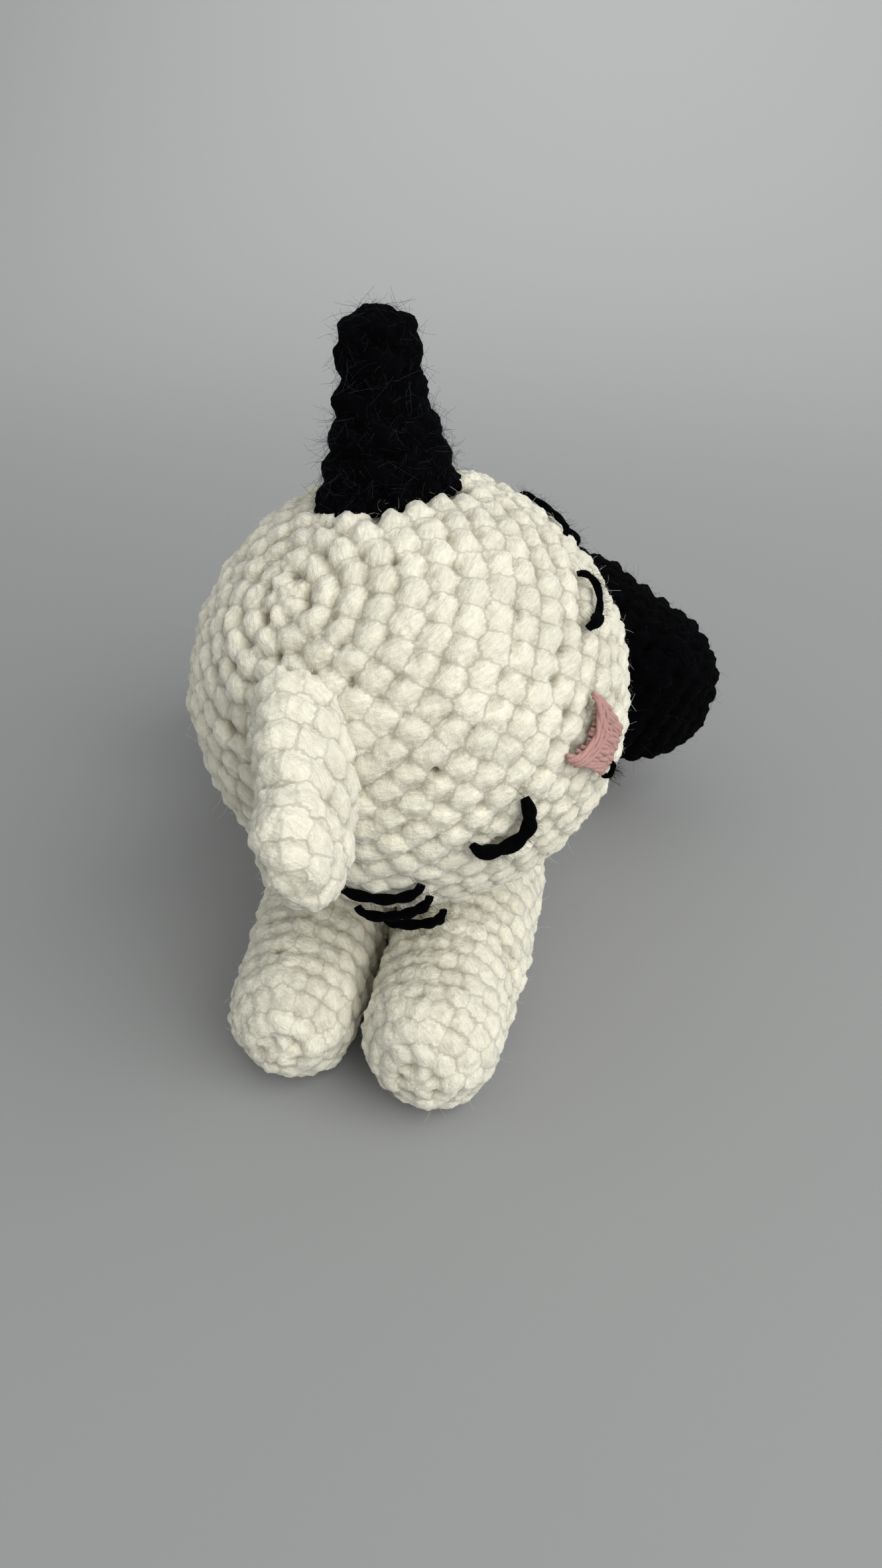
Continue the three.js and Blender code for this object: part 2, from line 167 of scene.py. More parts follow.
soft_lamp("window_lamp", (0.48, -0.34, 0.52), size=0.7, power=3.9)
soft_lamp("fill_lamp", (0.36, -0.58, 0.28), size=0.5, power=1.35)
soft_lamp("backdrop_lamp", (0, 0.70, 0.70), size=1.0, power=6.0, target=BACKDROP_TARGET)
world = bpy.data.worlds.new("studio")
world.use_nodes = True
glow = world.node_tree.nodes["Background"]
glow.inputs["Color"].default_value = (0.97, 0.985, 1.0, 1)
glow.inputs["Strength"].default_value = 0.65
scene.world = world

# %% [markdown]
# ## Yarn
#
# The cream yarn is soft, dull and a little uneven; the black one is nearly black, with a faint sheen and
# loose fibres that are painted paler as sheen; the nose is a dusty pink. A picture of crochet could be
# wrapped round each piece, but it would slide over the real bumps, so one node tree makes all three
# yarns. Two numbers stored on every point steer it. The first is how far the point lies below the
# crests: it paints shade into the creases between the stitches, and past one it paints a hole's darker
# shadow. The second is a tone that makes each stitch its own. The fibres are a noise stretched along the
# yarn, read from the stitch's own UV map.

# %% Helpers for node trees
NOISE_LOW, NOISE_HIGH = 0.3, 0.7


def add_node(tree, kind, inputs, **settings):
    """A new shader node. An input that is given another node's output is linked to it."""
    made = tree.nodes.new(f"ShaderNode{kind}")
    for key, value in settings.items():
        setattr(made, key, value)
    for key, value in inputs.items():
        if isinstance(value, bpy.types.NodeSocket):
            tree.links.new(value, made.inputs[key])
        else:
            made.inputs[key].default_value = value
    return made


def add_up(tree, a, b):
    return add_node(tree, "Math", {0: a, 1: b}, operation="ADD").outputs["Value"]


def blend_colours(tree, factor, a, b):
    return add_node(tree, "Mix", {"Factor": factor, "A": a, "B": b}, data_type="RGBA").outputs["Result"]


def swing(tree, source, low, high):
    """Stretches a noise from the range that it mostly keeps to, to another one."""
    inputs = {"Value": source.outputs["Fac"], "From Min": NOISE_LOW, "From Max": NOISE_HIGH}
    return add_node(tree, "MapRange", {**inputs, "To Min": low, "To Max": high}).outputs["Result"]


# %% Yarn finishes
YARN_SKIN = {
    "Roughness": 0.88,
    "Sheen Roughness": 0.45,
    "Subsurface Radius": (1.0, 0.9, 0.75),
    "Subsurface Scale": 1.5 * MM,
}
ALONG_YARN = {"Scale": (9.0, 1.8, 1.0), "Rotation": (0, 0, math.radians(9))}
PATCHES = {"Scale": 90.0, "Detail": 3.0}
STRANDS = {"Scale": 1.0, "Detail": 4.0, "Roughness": 0.65}
FLUFF = {"Scale": 1900.0, "Detail": 4.0, "Roughness": 0.7}
PATCH_SWING, STRAND_SWING = (-0.05, 0.05), (-0.16, 0.08)
# The second number below is the share of the painted shade colour that a hole's darker painted shadow keeps.
FIBRE_STRENGTH, PAINTED_HOLE_SHADE = 0.7, 0.3


def yarn(name, colour, crease_shade_colour, fibre, sheen, soft, shine=0.08):
    """A matt yarn: colour on its crests, painted shade between stitches, fibre the height of its strands."""
    finish = bpy.data.materials.new(name)
    finish.use_nodes = True
    tree = finish.node_tree
    skin = tree.nodes["Principled BSDF"]
    own = {"Specular IOR Level": shine, "Sheen Weight": sheen, "Subsurface Weight": soft}
    for socket, value in {**YARN_SKIN, **own}.items():
        skin.inputs[socket].default_value = value

    # Painted shade: the stored depth number mixes the yarn towards its painted shade colour, and past one
    # towards a hole's painted shadow.
    crease_shade = add_node(tree, "Attribute", {}, attribute_name="crease_shade").outputs["Fac"]
    tone = add_node(tree, "Attribute", {}, attribute_name="tone").outputs["Fac"]
    shade = blend_colours(tree, crease_shade, (*colour, 1), (*crease_shade_colour, 1))
    deeper = add_node(tree, "Math", {0: crease_shade, 1: 1.0}, operation="SUBTRACT").outputs["Value"]
    shade = blend_colours(tree, deeper, shade, (*[PAINTED_HOLE_SHADE * c for c in crease_shade_colour], 1))

    where = add_node(tree, "TexCoord", {}).outputs
    patches = add_node(tree, "TexNoise", {"Vector": where["Object"], **PATCHES})
    along = add_node(tree, "Mapping", {"Vector": where["UV"], **ALONG_YARN}).outputs["Vector"]
    strands = add_node(tree, "TexNoise", {"Vector": along, **STRANDS})
    uneven = add_up(tree, swing(tree, patches, *PATCH_SWING), swing(tree, strands, *STRAND_SWING))
    lift = add_up(tree, add_up(tree, uneven, tone), 1.0)
    bright = add_node(tree, "HueSaturation", {"Color": shade, "Value": lift})
    tree.links.new(bright.outputs["Color"], skin.inputs["Base Color"])

    fluff = add_node(tree, "TexNoise", {"Vector": where["Object"], **FLUFF})
    height = add_up(tree, strands.outputs["Fac"], fluff.outputs["Fac"])
    bump = add_node(tree, "Bump", {"Strength": FIBRE_STRENGTH, "Distance": fibre, "Height": height})
    tree.links.new(bump.outputs["Normal"], skin.inputs["Normal"])
    return finish


# The second colour of each yarn is the painted shade between its stitches.
cream_yarn = yarn(
    "cream_yarn", (0.83, 0.80, 0.655), (0.50, 0.46, 0.34), fibre=0.6 * MM, sheen=0.2, soft=0.35
)
black_yarn = yarn(
    "black_yarn", (0.0010, 0.0011, 0.0015), (0.0003, 0.0003, 0.0004),
    fibre=0.6 * MM, sheen=0.005, soft=0.0, shine=0.02,
)
pink_yarn = yarn(
    "pink_yarn", (0.48, 0.265, 0.235), (0.24, 0.11, 0.095), fibre=0.3 * MM, sheen=0.15, soft=0.15
)
print("yarns", [m.name for m in (cream_yarn, black_yarn, pink_yarn)])

# %% [markdown]
# ## One stitch
#
# Seen from outside, a single crochet stitch in soft yarn is a plump slanted bump, narrow at its foot and
# broad at its top. Beside its top a second loop of the same yarn lies deeper, and shows as a small dark
# bump between its neighbours. A curve with a round bevel could follow the yarn's whole way, but most of
# it would be hidden. So both loops are spheres with few faces, drawn out by moving their points. The
# stitch is one unit wide, high and thick, so that a matrix can fit it to any round. It reaches past its
# cell, so that neighbours press into each other as real stitches do. Seven kinds keep it handmade, and
# the last of them has no second loop, which leaves a small hole now and then.

# %% The stitch, one unit wide
STITCH_KINDS = 7
BROADER, BROAD_SLIP, LONG_SLIP, PLUMP_SLIP = 0.12, 0.07, 0.05, 0.08
TILTS = (-0.36, -0.26)
rng = random.Random(11)


def yarn_layers(bm):
    """The layers that every piece of yarn carries: its UV map, its depth and its tone."""
    numbers = bm.verts.layers.float
    return bm.loops.layers.uv.new("yarn"), numbers.new("crease_shade"), numbers.new("tone")


def loop_of_stitch(bm, place, long, short, thick, sides, rings):
    """One loop of yarn: a sphere drawn out along its poles, broader at one end and a little uneven."""
    ball = bmesh.ops.create_uvsphere(bm, u_segments=sides, v_segments=rings, radius=1)["verts"]
    for v in ball:
        broad = v.co.x * (1 + BROADER * v.co.z + rng.uniform(-BROAD_SLIP, BROAD_SLIP))
        drawn = v.co.z + rng.uniform(-LONG_SLIP, LONG_SLIP)
        plump = v.co.y * (1 + rng.uniform(-PLUMP_SLIP, PLUMP_SLIP))
        v.co = Vector(place) + Vector(long) * drawn + Vector(short) * broad + Vector((0, 0, thick * plump))


def one_stitch(gap):
    """A stitch, with its second loop unless it leaves a gap there."""
    bm = bmesh.new()
    yarn_layers(bm)
    tilt = rng.uniform(*TILTS)
    loop_of_stitch(
        bm, place=(0, 0, -0.56), long=(0.595, tilt, 0), short=(0.225, 0.385, 0), thick=0.56,
        sides=10, rings=6,
    )
    if not gap:
        loop_of_stitch(
            bm, place=(0.25, 0.48, -0.60), long=(0.10, 0.27, 0), short=(0.27, -0.08, 0), thick=0.40,
            sides=7, rings=4,
        )
    bmesh.ops.recalc_face_normals(bm, faces=bm.faces)
    return bm


stitches = [one_stitch(gap=k == STITCH_KINDS - 1) for k in range(STITCH_KINDS)]
print("stitch", len(stitches[0].faces), "faces, in", len(stitches), "kinds")

# %% [markdown]
# ## Forms worked in rounds
#
# Every crocheted shape here is a tube or a ball worked in rounds from one end. So one description serves
# them all: an outline of places along an axis with a radius at each, and a path that says where that axis
# runs. Rounds are laid off along the outline at equal steps, and each holds as many stitches as fit.

# %% Form: outline and path
TINY = 1e-9
THINNEST = 0.2 * MM


class Form:
    """A crocheted shape: outline holds (along, radius) from the first round to the last."""

    def __init__(self, outline, path, broad=1.0):
        self.outline, self.path, self.broad = outline, path, broad
        self.reached = [0.0]
        for (a, r), (b, q) in zip(outline, outline[1:]):
            self.reached.append(self.reached[-1] + math.hypot(b - a, q - r))

    def at(self, s):
        """Place along the axis and radius, at a length s down the outline."""
        s = min(max(s, 0), self.reached[-1])
        i = next((k for k, x in enumerate(self.reached[1:]) if x >= s), len(self.reached) - 2)
        part = (s - self.reached[i]) / max(self.reached[i + 1] - self.reached[i], TINY)
        (a, r), (b, q) = self.outline[i], self.outline[i + 1]
        return a + (b - a) * part, r + (q - r) * part

    def inside(self, s, depth):
        """The same as at, for an outline that lies a depth inside this one."""
        near = 0.3 * MM
        (a, r), (b, q) = self.at(s - near), self.at(s + near)
        reach = max(math.hypot(b - a, q - r), TINY)
        along, radius = self.at(s)
        return along - depth * (q - r) / reach, max(radius + depth * (b - a) / reach, THINNEST)

    def point(self, s, turn):
        along, radius = self.at(s)
        middle, side, up = self.path(along)
        return middle + side * (math.cos(turn) * radius * self.broad) + up * (math.sin(turn) * radius)

    def skin(self, s, turn):
        """Point on the surface with its directions round the form, down it and out of it."""
        step, nudge = 0.2 * MM, 0.02
        down = (self.point(s + step, turn) - self.point(s - step, turn)).normalized()
        across = (self.point(s, turn + nudge) - self.point(s, turn - nudge)).normalized()
        along, _ = self.at(s)
        out = across.cross(down).normalized()
        if out.dot(self.point(s, turn) - self.path(along)[0]) < 0:
            out = -out
        down = (down - out * down.dot(out)).normalized()
        return self.point(s, turn), down.cross(out), down, out


def egg_outline(radius, ahead, behind, steps=72):
    """Outline of an egg, from the pole ahead to the pole behind."""
    outline = []
    for i in range(steps + 1):
        turn = math.pi * i / steps
        half = ahead if turn < math.pi / 2 else behind
        outline.append((half * math.cos(turn), radius * math.sin(turn)))
    return outline


# %% Balls and eggs: the head and the body
HEAD_RADIUS = 32 * MM
HEAD_CENTRE = Vector((3, -48, 53.887)) * MM
HEAD_TURNS = ((61, "Z"), (-4.8, "X"), (-47, "Y"))
HEAD_TURNED = Matrix.Identity(3)
for degrees, axis in HEAD_TURNS:
    HEAD_TURNED = HEAD_TURNED @ Matrix.Rotation(math.radians(degrees), 3, axis)
BODY_MIDDLE = Vector((0, 0, 29.5)) * MM
BODY_RADIUS, BODY_REAR, BODY_FRONT = 30 * MM, 50 * MM, 31 * MM


def head_path(along):
    left, rear, crown = HEAD_TURNED.col
    return HEAD_CENTRE + crown * along, left, rear


def body_path(along):
    return BODY_MIDDLE + Vector((0, along, 0)), Vector((1, 0, 0)), Vector((0, 0, 1))


head_form = Form(egg_outline(HEAD_RADIUS, HEAD_RADIUS, HEAD_RADIUS), head_path)
body_form = Form(egg_outline(BODY_RADIUS, BODY_REAR, BODY_FRONT), body_path)


def outside_body(p):
    """About how far a point is outside the body."""
    across = math.hypot(p.x, p.z - BODY_MIDDLE.z)
    reach = BODY_FRONT if p.y < 0 else BODY_REAR
    level = (across / BODY_RADIUS) ** 2 + (p.y / reach) ** 2 - 1
    return level / max(2 * math.hypot(across / BODY_RADIUS**2, p.y / reach**2), TINY)


def outside_head(p):
    return (p - HEAD_CENTRE).length - HEAD_RADIUS


print("from pole to pole, in mm:", [round(f.reached[-1] / MM) for f in (head_form, body_form)])

# %% [markdown]
# ## Bent limbs
#
# Legs and tail bend softly from a root to a round tip. Three places give the bend: the axis starts at the
# first, heads for the second and ends at the third. The radius changes from the root's to the tip's, with
# a swell between them on the legs. A curve with a round bevel could draw the same tube, but the stitches
# need the directions round it and down it at every point, so the path is worked out here.

# %% Limbs: legs and tail along their paths
PATH_STEPS, TIP_STEPS, SHAFT_STEPS = 80, 16, 40
UP = Vector((0, 0, 1))


def limb_form(points, root, tip, swell=0.0, broad=1.0, wide=UP):
    """A limb along a bent path, from its round tip to its root, all given in mm."""
    start, bend, end = (Vector(p) * MM for p in points)
    root, tip, swell = root * MM, tip * MM, swell * MM

    def place(t):
        return start * (1 - t) ** 2 + bend * 2 * t * (1 - t) + end * t**2

    ticks = [i / PATH_STEPS for i in range(PATH_STEPS + 1)]
    lengths = [0.0]
    for a, b in zip(ticks, ticks[1:]):
        lengths.append(lengths[-1] + (place(b) - place(a)).length)
    shaft = lengths[-1] - tip

    def path(along):
        i = next((k for k, x in enumerate(lengths) if x >= along), PATH_STEPS)
        i = min(max(i, 1), PATH_STEPS)
        part = (along - lengths[i - 1]) / (lengths[i] - lengths[i - 1])
        t = min(max(ticks[i - 1] + part / PATH_STEPS, 0), 1)
        ahead = ((bend - start) * (1 - t) + (end - bend) * t).normalized()
        side = ahead.cross(wide).normalized()
        return place(t), side, side.cross(ahead)

    outline = []
    for i in range(TIP_STEPS):
        turn = math.pi / 2 * i / TIP_STEPS
        outline.append((shaft + tip * math.cos(turn), tip * math.sin(turn)))
    for i in range(SHAFT_STEPS + 1):
        part = 1 - i / SHAFT_STEPS
        smooth = part * part * (3 - 2 * part)
        radius = root + (tip - root) * smooth + swell * math.sin(math.pi * smooth)
        outline.append((shaft * part, radius))
    return Form(outline, path, broad)


def hind_leg(side):
    points = [(side * 2, 24, 42), (side * 27, 18, 31), (side * 52, 12, 20)]
    return limb_form(points, root=12.5, tip=17, swell=3.3)


LEFT_POINTS = [(13, -6, 14.5), (12.2, -42, 10.6), (9.2, -84, 10.6)]
RIGHT_POINTS = [(-13, -6, 14.5), (-11.2, -40.2, 10.2), (-11.5, -80.5, 10.2)]
TAIL_POINTS = [(0, 34, 16), (0, 68, 3), (-34, 68, 8)]
LIMB_FORMS = {
    "front_leg_left": limb_form(LEFT_POINTS, root=9, tip=11.1, swell=2.0),
    "front_leg_right": limb_form(RIGHT_POINTS, root=9, tip=10.7, swell=2.0),
    "hind_leg_left": hind_leg(1),
    "hind_leg_right": hind_leg(-1),
    "tail": limb_form(TAIL_POINTS, root=6, tip=5),
}
print("limbs in mm from tip to root:", {k: round(f.reached[-1] / MM) for k, f in LIMB_FORMS.items()})

# %% [markdown]
# ## Places on the head
#
# The head lies turned and rolled onto its cheek, and carries the ears and the face. So their places are
# given in degrees, as on a globe: to the cat's left of its face, and up towards its crown. They follow if
# the head is turned another way. An ear is a straight limb that stands in the head, flattened and twisted
# about its length.

# %% Places on the head, and the ears
EAR_ROOT = 6


def head_direction(left, up):
    """Direction on the head: degrees to the cat's left of its face, and up towards the crown."""
    a, b = math.radians(left), math.radians(up)
    return HEAD_TURNED @ Vector((math.cos(b) * math.sin(a), -math.cos(b) * math.cos(a), math.sin(b)))


def on_head(left, up, outside=0.0):
    return HEAD_CENTRE + head_direction(left, up) * (HEAD_RADIUS + outside)


def ear(foot, aim, twist, length, root, tip, broad):
    """A flattened ear: foot and aim are directions on the head, and twist turns it about its length."""
    axis = head_direction(*aim)
    start = on_head(*foot) - axis * (EAR_ROOT * MM)
    end = start + axis * (EAR_ROOT + length) * MM
    face = head_direction(0, 0)
    wide = (face - axis * face.dot(axis)).normalized()
    wide = Matrix.Rotation(math.radians(twist), 3, axis) @ wide
    points = [p / MM for p in (start, (start + end) / 2, end)]
    return limb_form(points, root, tip, broad=broad, wide=wide)


EAR_FORMS = {
    "ear_left": ear((86, 47.6), (86, 46), twist=64, length=21.5, root=10.9, tip=5.9, broad=0.68),
    "ear_right": ear((-64, 51.5), (-52, 20), twist=90, length=21, root=11.2, tip=8.6, broad=0.66),
}
print("ears in mm from tip to root:", {k: round(f.reached[-1] / MM) for k, f in EAR_FORMS.items()})

# %% [markdown]
# ## Lining
#
# A lining closes each form a little way in, so that no light falls through the gaps. It is a tube that
# grows ring by ring: a circle is extruded again and again, and each new ring is carried to its place by
# a matrix. The same tube makes the hairs and the strands of the face further down.

# %% A tube, and the lining made of it
LINING_SIDES, LINING_STEP, LINING_END = 28, 3 * MM, 0.5 * MM
FEWEST_RINGS = 6


def axes_matrix(point, x, y, z):
    """A matrix that carries the three unit axes to three vectors at a point."""
    return Matrix.Translation(point) @ Matrix((x, y, z)).transposed().to_4x4()


def tube(bm, sides, matrices):
    """A closed tube: a circle that is extruded from each matrix to the next, with filled ends."""
    ring = bmesh.ops.create_circle(bm, segments=sides, radius=1, cap_ends=False)["verts"]
    begun = list(dict.fromkeys(e for v in ring for e in v.link_edges))
    edges, made = begun, list(ring)
    bmesh.ops.transform(bm, matrix=matrices[0], verts=ring)
    for before, after in zip(matrices, matrices[1:]):
        grown = bmesh.ops.extrude_edge_only(bm, edges=edges)["geom"]
        ring = only(bmesh.types.BMVert, grown)
        edges = only(bmesh.types.BMEdge, grown)
        bmesh.ops.transform(bm, matrix=after @ before.inverted(), verts=ring)
        made += ring
    bmesh.ops.holes_fill(bm, edges=begun + edges, sides=0)
    faces = list(dict.fromkeys(f for v in made for f in v.link_faces))
    bmesh.ops.recalc_face_normals(bm, faces=faces)
    return faces


def lining(bm, form, depth, last):
    """A closed skin under the stitches, from the first pole to a length down the outline."""
    count = max(FEWEST_RINGS, round(last / LINING_STEP))
    matrices = []
    for i in range(count + 1):
        along, radius = form.inside(LINING_END + (last - 2 * LINING_END) * i / count, depth)
        middle, side, up = form.path(along)
        ahead = side.cross(up)
        matrices.append(axes_matrix(middle, side * radius * form.broad, up * radius, ahead * radius))
    tube(bm, LINING_SIDES, matrices)


# %% [markdown]
# ## Working the rounds
#
# Every stitch is a copy of one of the seven, turned to the surface and scaled to its round. An array
# modifier would make all of them alike. Hands are never exact, so each stitch is nudged, leans a little
# and has its own size, and rounds start half a stitch apart. The first rounds have no holes. One stitch
# closes the pole of most pieces. On the front paws and the ears the first round sinks in a little instead.

# %% Rounds of stitches
ANY_TURN = (0, 6.28)
FEWEST_ROUNDS, FEWEST_STITCHES, TIGHT_ROUNDS = 3, 5, 3
POLE, POLE_DEPTH = 0.3 * MM, 0.6 * MM
START_SLIP, TURN_SLIP, ROW_SLIP, LEAN = 0.06, 0.10, 0.05, 0.13
SIZES, HEIGHTS, TONES = (0.90, 1.10), (0.98, 1.08), (-0.08, 0.04)
SINK, SINK_SPREAD = -0.4, 0.17
LUMPS, LUMP_HEIGHT, LUMP_TIMES, LUMP_CLIMBS = 4, 0.1, (2, 5), (0.1, 0.3)
one = bpy.data.meshes.new("one_stitch")


def place_copy(bm, shape, matrix, tone):
    """Adds a copy of a small yarn shape to a piece."""
    copy = shape.copy()
    bmesh.ops.transform(copy, matrix=matrix, verts=copy.verts)
    layer = copy.verts.layers.float["tone"]
    for v in copy.verts:
        v[layer] = tone
    copy.to_mesh(one)
    copy.free()
    bm.from_mesh(one)


def rounds(bm, form, look, last, hidden):
    """Lays stitches in rounds down the form, and leaves out those that another form hides."""
    placed = []
    thick, dip = look["thick"], look["dip"]
    count = max(FEWEST_ROUNDS, round(last / look["height"]))
    height = last / count
    shift = 0.0
    lumps = []
    for _ in range(LUMPS):
        lumps.append((rng.uniform(*ANY_TURN), rng.uniform(*LUMP_TIMES), rng.uniform(*LUMP_CLIMBS) / MM))
    if not dip:
        point, across, down, out = form.skin(POLE, 0)
        closing = axes_matrix(point - out * POLE_DEPTH, across * look["width"], down * height, out * thick)
        place_copy(bm, stitches[0], closing, 0)
        placed.append((point, across, down, out, 0.0))
    for k in range(count):
        s = (k + 0.5) * height
        _, radius = form.at(s)
        around = math.pi * radius * (1 + form.broad)
        n = max(FEWEST_STITCHES, round(around / look["width"]))
        shift += 0.5 / n + rng.uniform(-START_SLIP, START_SLIP) / n
        start = dip if k == 0 else 0.0
        kinds = stitches[:-1] if k < TIGHT_ROUNDS else stitches
        for j in range(n):
            turn = 2 * math.pi * (j / n + shift) + rng.uniform(-TURN_SLIP, TURN_SLIP) / n
            point, across, down, out = form.skin(s + rng.uniform(-ROW_SLIP, ROW_SLIP) * height, turn)
            if hidden(point):
                continue
            lean = Matrix.Rotation(rng.gauss(0, LEAN), 3, out)
            across, down = lean @ across, lean @ down
            size = rng.uniform(*SIZES)
            waves = [math.sin(first + round(times) * turn + s * climb) for first, times, climb in lumps]
            lift = (rng.gauss(SINK, SINK_SPREAD) + LUMP_HEIGHT * sum(waves)) * MM - start
            matrix = axes_matrix(
                point + out * lift,
                across * (around / n * size),
                down * (height * rng.uniform(*HEIGHTS)),
                out * (thick * size),
            )
            place_copy(bm, rng.choice(kinds), matrix, 0)
            placed.append((point, across, down, out, rng.uniform(*TONES)))
    return placed


# %% [markdown]
# ## One soft skin
#
# Real stitches aren't separate beads: their fibres felt together where they touch. A voxel remesh joins
# the lining and all the loops into one skin, and a light smoothing rounds the creases. A fine noise then
# roughens it as loose fibres do. The new skin has no layers, so each point asks for its nearest stitch,
# and takes that stitch's tone, its depth under the crest, which sets the shade painted between the
# stitches, and its place in the stitch, which runs along the yarn. Points below the floor are lifted
# onto it, because a soft toy flattens where it lies.

# %% Join the loops
STITCH, GRAIN = 4.0 * MM, 0.4 * MM
ROUGH_HEIGHT, ROUGH_SIZE, ROUGH_OCTAVES = 0.28 * MM, 1.5 * MM, (0.6, 2.0, 3)
# Painted shade between stitches begins at one depth under the crest and is full one depth further; it stops
# at a hole's painted shadow.
STITCH_MIDDLE, SHADE_FROM_DEPTH, SHADE_OVER_DEPTH, MOST_PAINTED_SHADE = 0.8 * MM, 0.9 * MM, 1.0 * MM, 2
SLANT_SIN, SLANT_COS = 0.5, 0.87
FLOOR_GAP = 0.05 * MM


def joined_skin(name, bm, rubbed):
    """One closed skin round all that a bmesh holds, as a new bmesh."""
    rough = link(f"{name}_loops", bm)
    joined = rough.modifiers.new("joined", "REMESH")
    joined.mode = "VOXEL"
    joined.voxel_size = GRAIN
    soft = rough.modifiers.new("soft", "SMOOTH")
    soft.factor = 0.5
    soft.iterations = rubbed
    skin = bpy.data.meshes.new_from_object(rough.evaluated_get(bpy.context.evaluated_depsgraph_get()))
    bpy.data.objects.remove(rough)
    felted = bmesh.new()
    felted.from_mesh(skin)
    bpy.data.meshes.remove(skin)
    return felted


def felt(name, bm, placed, rubbed):
    """Joins loops and lining into one skin that carries the yarn layers."""
    felted = joined_skin(name, bm, rubbed)
    uv, crease_shade, tone = yarn_layers(felted)
    near = KDTree(len(placed))
    for i, (point, _, _, out, _) in enumerate(placed):
        near.insert(point - out * STITCH_MIDDLE, i)
    near.balance()
    for v in felted.verts:
        _, i, _ = near.find(v.co)
        point, across, down, out, own = placed[i]
        v.co += out * ROUGH_HEIGHT * noise.fractal(v.co / ROUGH_SIZE, *ROUGH_OCTAVES)
        v.co.z = max(v.co.z, FLOOR_GAP)
        off = v.co - point
        side, fall = off.dot(across), off.dot(down)
        # Painted shade: the farther a point lies under the crest, the more shade is painted on it, up to a
        # hole's painted shadow.
        v[crease_shade] = min(MOST_PAINTED_SHADE, max(0, (-off.dot(out) - SHADE_FROM_DEPTH) / SHADE_OVER_DEPTH))
        v[tone] = own
        along = (side * SLANT_SIN + fall * SLANT_COS) / STITCH + i
        beside = (side * SLANT_COS - fall * SLANT_SIN) / STITCH
        for loop in v.link_loops:
            loop[uv].uv = (along, beside)
    shade_smooth(felted.faces)
    return felted


# %% [markdown]
# ## Fibres
#
# Yarn sheds short loose hairs, which show most round the black pieces; there they are painted paler
# than the yarn, as painted sheen. Blender's hair system isn't part of a mesh, so a hair here is a thin
# three-sided tube in a few steps that each bend a little further. A few kinds are enough, scattered at
# random over the form with a random turn and length.

# %% Loose hairs
HAIR_RADIUS, HAIR_SIDES, HAIR_STEPS, HAIR_TAPER = 0.008, 3, 3, 0.82
HAIR_BENDS = (0.3, 0.6, 0.9, 1.3)
HAIR_ROOT, HAIR_FREE, HAIR_WIDEST = 0.7 * MM, 3 * MM, 2.6 * MM
HAIRS_FROM, LEAN_OUT, MOSTLY_SHORT = 0.02, 0.5, 9


def hair(bend):
    """A curved hair, one unit long."""
    bm = bmesh.new()
    yarn_layers(bm)
    middle, radius = Vector(), HAIR_RADIUS
    matrices = [Matrix.Scale(radius, 4)]
    for i in range(HAIR_STEPS):
        turn = Matrix.Rotation(bend * (0.5 + 0.5 * i), 3, "X")
        middle = middle + turn @ Vector((0, 0, 1 / HAIR_STEPS))
        radius *= HAIR_TAPER
        matrices.append(Matrix.Translation(middle) @ Matrix.Scale(radius, 4))
    tube(bm, HAIR_SIDES, matrices)
    return bm


hairs = [hair(bend) for bend in HAIR_BENDS]


def fibres(bm, form, count, shortest, longest, pale, last, hidden):
    """Scatters loose hairs over a form, each painted paler at random; on black yarn this is painted sheen.
    """
    fullest = max(r for _, r in form.outline)
    made = 0
    while made < count:
        s = rng.uniform(HAIRS_FROM, 1) * last
        _, radius = form.at(s)
        if rng.random() > radius / fullest:
            continue
        point, across, down, out = form.skin(s, rng.uniform(0, 2 * math.pi))
        if hidden(point) or point.z < HAIR_FREE:
            continue
        lean = Vector((rng.uniform(-1, 1), rng.uniform(-1, 1), rng.uniform(0, LEAN_OUT))).normalized()
        up = across * lean.x + down * lean.y + out * lean.z
        side = Matrix.Rotation(rng.uniform(*ANY_TURN), 3, up) @ up.orthogonal().normalized()
        size = shortest + (longest - shortest) * rng.random() ** MOSTLY_SHORT
        thin = min(size, HAIR_WIDEST)
        matrix = axes_matrix(point - out * HAIR_ROOT, side * thin, up.cross(side) * thin, up * size)
        place_copy(bm, rng.choice(hairs), matrix, rng.uniform(0, pale))
        made += 1


print("hair", len(hairs[0].faces), "faces")

# %% [markdown]
# ## The head
#
# The head is a stuffed ball, worked from the crown. A sphere with a bump texture would have a smooth edge
# against the backdrop, so its stitches are real ones. Each stuffed piece is one object: its lining, its
# rounds of stitches and its fibres. Under the foot of the black ear the head has no stitches, because
# cream ones would show between the black ones.

# %% Crochet a piece
LINING_SHARE = 0.85
STUFFED_LOOK = {"width": STITCH, "height": 3.9 * MM, "thick": 2.9 * MM, "rubbed": 1, "dip": 0.0}
FOOT_PLACES, FOOT_STEP = 36, 0.25 * MM
EAR_COVERS = 0.6 * MM


def crochet(name, form, finish, hidden, hairs_of, look=STUFFED_LOOK, last=None):
    """One crocheted piece, down to a length of its outline. Its hairs: count, lengths and paleness (painted
    sheen on black yarn).
    """
    last = last or form.reached[-1]
    bm = bmesh.new()
    yarn_layers(bm)
    lining(bm, form, LINING_SHARE * look["thick"], last)
    placed = rounds(bm, form, look, last, hidden)
    bm = felt(name, bm, placed, look["rubbed"])
    fibres(bm, form, *hairs_of, last, hidden)
    piece = link(name, bm, finish)
    print(name, len(placed), "stitches", len(piece.data.polygons), "faces")
    return piece


def middle_of(points):
    return sum(points, Vector()) / len(points)


def foot_line(form, outside):
    """Points where a form goes into the one that it is sewn to, in order round it, and their middle."""
    line = []
    for k in range(FOOT_PLACES):
        turn, s = 2 * math.pi * k / FOOT_PLACES, 0.0
        while s < form.reached[-1] and outside(form.point(s, turn)) > 0:
            s += FOOT_STEP
        line.append(form.point(s, turn))
    return line, middle_of(line)


